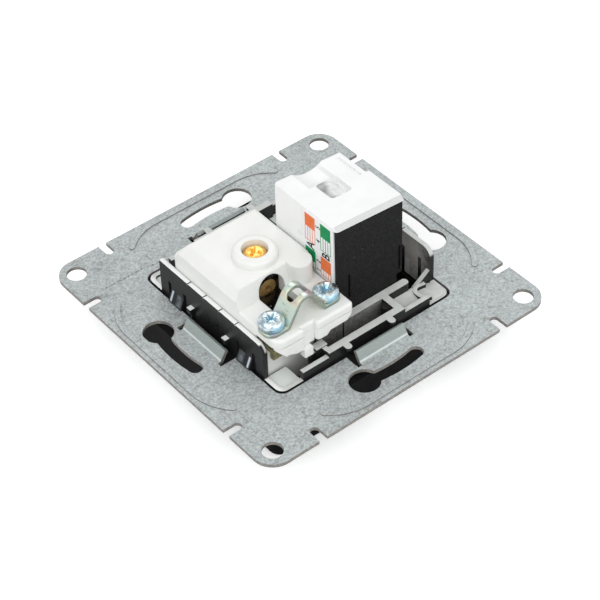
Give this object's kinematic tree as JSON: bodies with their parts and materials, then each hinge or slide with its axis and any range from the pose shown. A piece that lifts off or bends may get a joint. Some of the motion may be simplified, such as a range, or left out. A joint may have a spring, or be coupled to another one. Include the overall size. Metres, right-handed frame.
{
  "type": "tv and data socket insert",
  "caption": "Flush-mounting insert with an aerial outlet under a cable clamp and a capped data jack, on a square steel mounting plate with keyhole slots.",
  "frame": {"origin": "centre of the square mounting plate on X and Y, on the front cover's face, which the part lies on", "axes": "+Z out of the wiring side, +X from the aerial outlet towards the data jack, +Y away from the cable clamp"},
  "size_m": [0.071, 0.071, 0.0348],
  "materials": {
    "galvanised_steel": "galvanised sheet, finely mottled",
    "black_plastic": "moulded, gloss",
    "white_plastic": "moulded, satin",
    "dark_plastic": "moulded, fine texture",
    "brass": "turned",
    "nickel_brass": "nickel plated",
    "zinc_plate": "zinc plated, iridescent",
    "yellow_zinc": "yellow passivated zinc",
    "board": "solder-resist green",
    "label": "printed film",
    "contact_metal": "gold flashed"
  },
  "bodies": {
    "root": {"mounting_plate": "galvanised_steel", "front_cover": "black_plastic", "insert_frame": "black_plastic", "tv_base": "white_plastic", "tv_cover": "white_plastic", "terminal_screw": "brass", "terminal_block": "brass", "terminal_holder": "dark_plastic", "coax_shell": "nickel_brass", "coax_insulator": "white_plastic", "coax_centre_contact": "brass", "clamp_strap": "zinc_plate", "clamp_screws": "zinc_plate", "clamp_nut_plate": "yellow_zinc", "jack_body": "dark_plastic", "jack_contact_carrier": "dark_plastic", "jack_circuit_board": "board", "jack_wiring_block": "white_plastic", "jack_cap": "white_plastic", "wiring_label": "label", "jack_contact_wire_1": "contact_metal", "jack_contact_wire_2": "contact_metal", "jack_contact_wire_3": "contact_metal", "jack_contact_wire_4": "contact_metal", "jack_contact_wire_5": "contact_metal", "jack_contact_wire_6": "contact_metal", "jack_contact_wire_7": "contact_metal", "jack_contact_wire_8": "contact_metal", "jack_wiring_blade_1": "contact_metal", "jack_wiring_blade_2": "contact_metal", "jack_wiring_blade_3": "contact_metal", "jack_wiring_blade_4": "contact_metal", "jack_wiring_blade_5": "contact_metal", "jack_wiring_blade_6": "contact_metal", "jack_wiring_blade_7": "contact_metal", "jack_wiring_blade_8": "contact_metal"}
  },
  "joints": []
}
